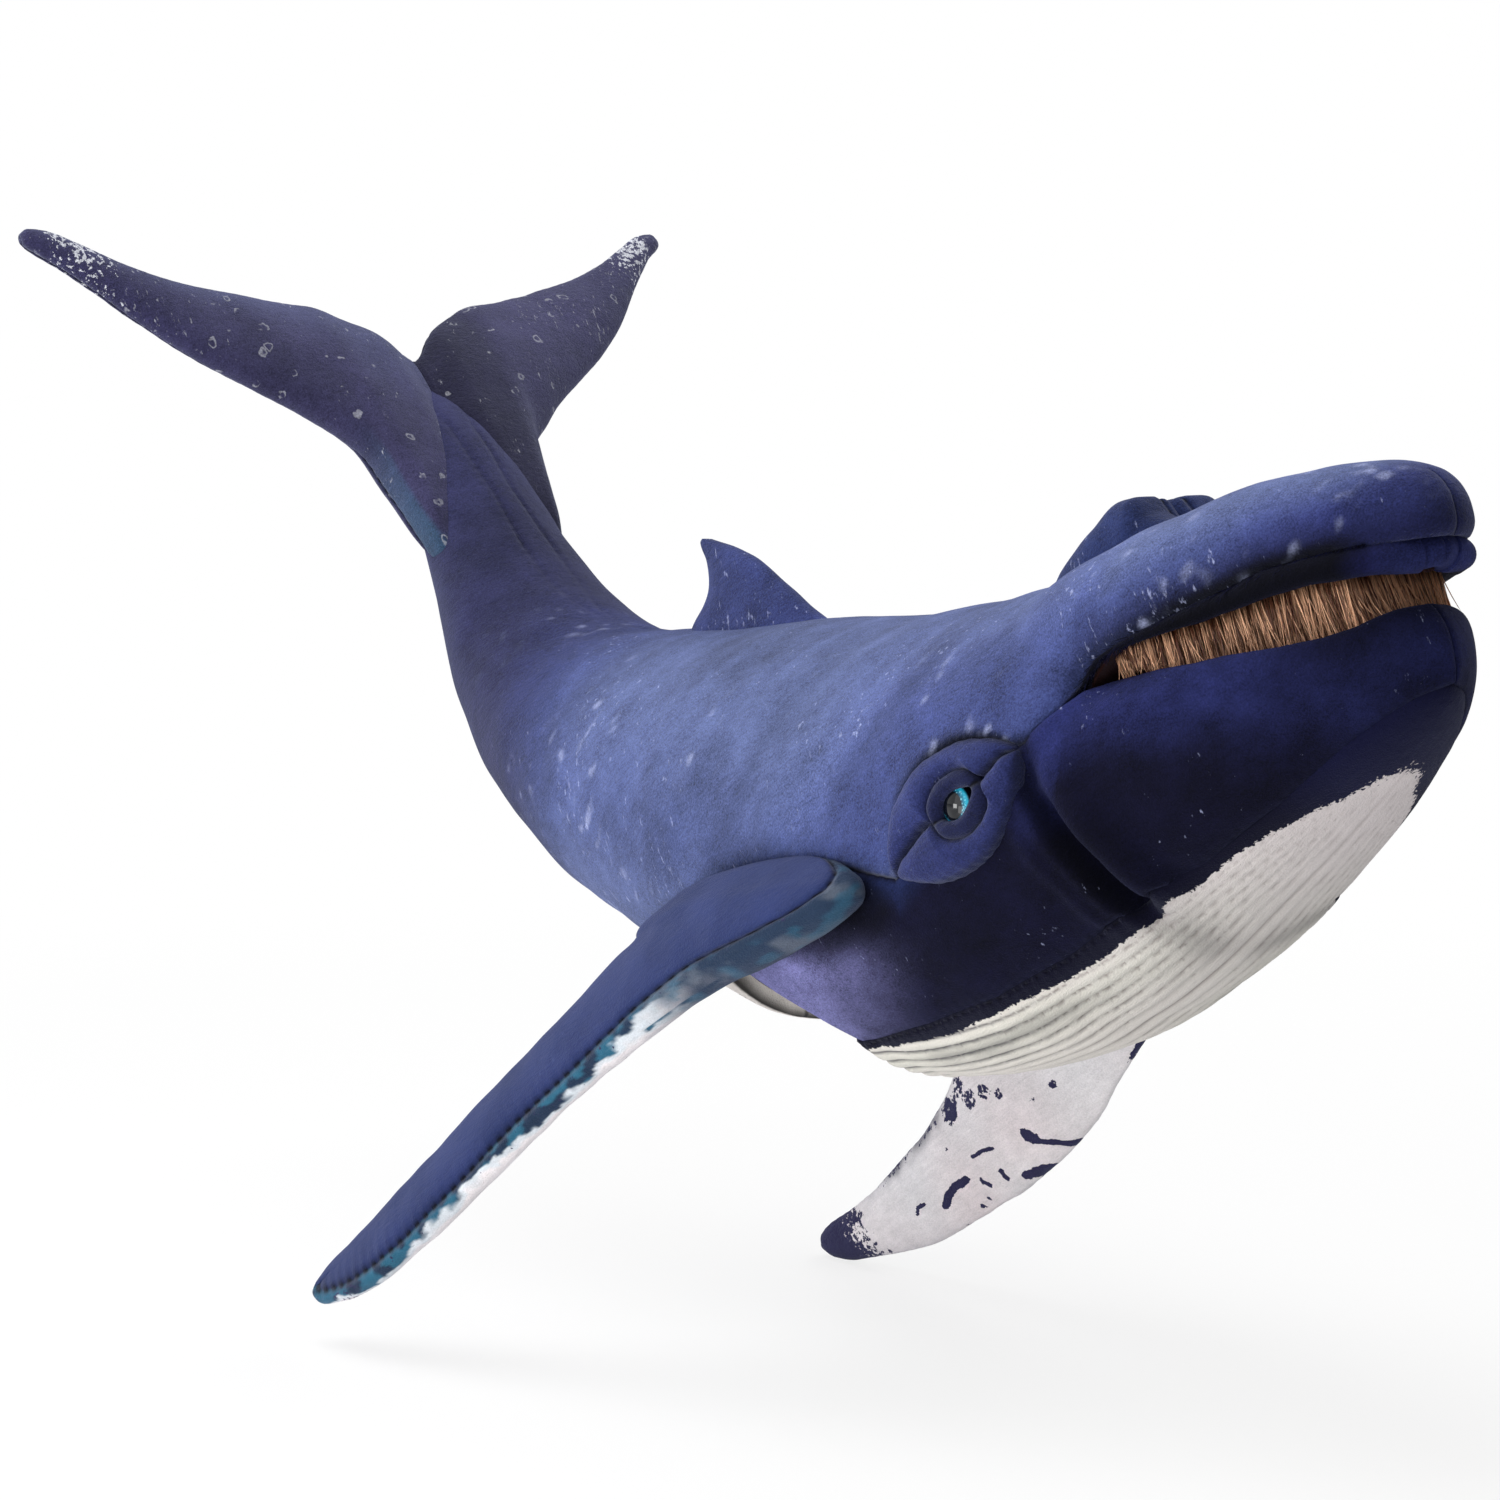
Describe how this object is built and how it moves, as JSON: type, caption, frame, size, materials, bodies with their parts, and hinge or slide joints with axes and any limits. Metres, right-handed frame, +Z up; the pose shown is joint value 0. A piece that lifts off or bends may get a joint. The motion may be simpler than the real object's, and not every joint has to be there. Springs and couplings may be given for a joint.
{
  "type": "whale hand puppet",
  "caption": "Stuffed humpback whale hand puppet with a hollow padded head, a jaw that opens, bristle baleen, hanging flippers and flukes.",
  "frame": {"origin": "centre of the hand opening under the belly, in the whale's middle plane", "axes": "+X to the snout, +Y to the whale's left, +Z up"},
  "size_m": [0.6436, 0.3212, 0.4192],
  "materials": {
    "velour_flank": "short velour, blue indigo",
    "velour_jowl": "short velour, dark navy",
    "velour_fluke": "short velour, slate navy with pale flecks",
    "velour_throat": "short velour, greyish white",
    "lining": "dark woven lining",
    "stuffing": "fibre filling",
    "baleen": "fine copper-brown bristle",
    "eye": "glossy, turquoise iris round a black pupil",
    "washer": "moulded"
  },
  "bodies": {
    "trunk_and_head": {"trunk_skin": "velour_flank", "trunk_stuffing": "stuffing", "trunk_bulkhead": "lining", "tail_fold": "velour_flank", "dorsal_fin": "velour_flank", "back_panel": "velour_flank", "cheek_panel_right": "velour_jowl", "cheek_panel_left": "velour_jowl", "belly_panel": "velour_throat", "throat_panel_rear": "velour_throat", "throat_hem": "velour_throat", "cheek_fold_right": "velour_jowl", "cheek_fold_left": "velour_jowl", "throat_fold": "velour_throat", "upper_jaw": "velour_flank", "nose_cap": "velour_flank", "palate": "lining", "upper_lip_right": "lining", "upper_lip_left": "lining", "baleen_right": "baleen", "baleen_left": "baleen", "baleen_front": "baleen", "blowhole_lobe_right": "velour_flank", "blowhole_lobe_left": "velour_flank", "eye_right": "eye", "eye_left": "eye", "eye_washer_right": "washer", "eye_washer_left": "washer", "eyelid_ring_right": "velour_flank", "eyelid_ring_left": "velour_flank", "eye_crescent_upper_right": "velour_flank", "eye_crescent_upper_left": "velour_flank", "eye_crescent_lower_right": "velour_flank", "eye_crescent_lower_left": "velour_flank"},
    "lower_jaw": {"jaw_panel_right": "velour_jowl", "jaw_panel_left": "velour_jowl", "throat_panel_front": "velour_throat", "mouth_floor": "lining"},
    "tail": {"tail_stock": "velour_flank", "fluke_right_top": "velour_fluke", "fluke_right_under": "velour_fluke", "fluke_left_top": "velour_fluke", "fluke_left_under": "velour_fluke"},
    "flipper_right": {"flipper_right_top": "velour_jowl", "flipper_right_under": "velour_throat"},
    "flipper_left": {"flipper_left_top": "velour_jowl", "flipper_left_under": "velour_throat"}
  },
  "joints": [
    {"name": "jaw_hinge", "type": "hinge", "parent": "trunk_and_head", "child": "lower_jaw", "pos_m": [0.148, 0, 0.12], "axis": [0, 1, 0], "range_deg": [-3, 18], "deforming": ["cheek_fold_right", "cheek_fold_left", "throat_fold"]},
    {"name": "tail_bend", "type": "hinge", "parent": "trunk_and_head", "child": "tail", "pos_m": [-0.21, 0, 0.1], "axis": [0, 1, 0], "range_deg": [-10, 10], "deforming": ["tail_fold"]},
    {"name": "flipper_right_hinge", "type": "hinge", "parent": "trunk_and_head", "child": "flipper_right", "pos_m": [0.016, -0.093, 0.044], "axis": [-0.9744, 0, -0.225], "range_deg": [-14, 47]},
    {"name": "flipper_left_hinge", "type": "hinge", "parent": "trunk_and_head", "child": "flipper_left", "pos_m": [0.016, 0.093, 0.044], "axis": [0.9744, 0, 0.225], "range_deg": [-4, 70]}
  ]
}
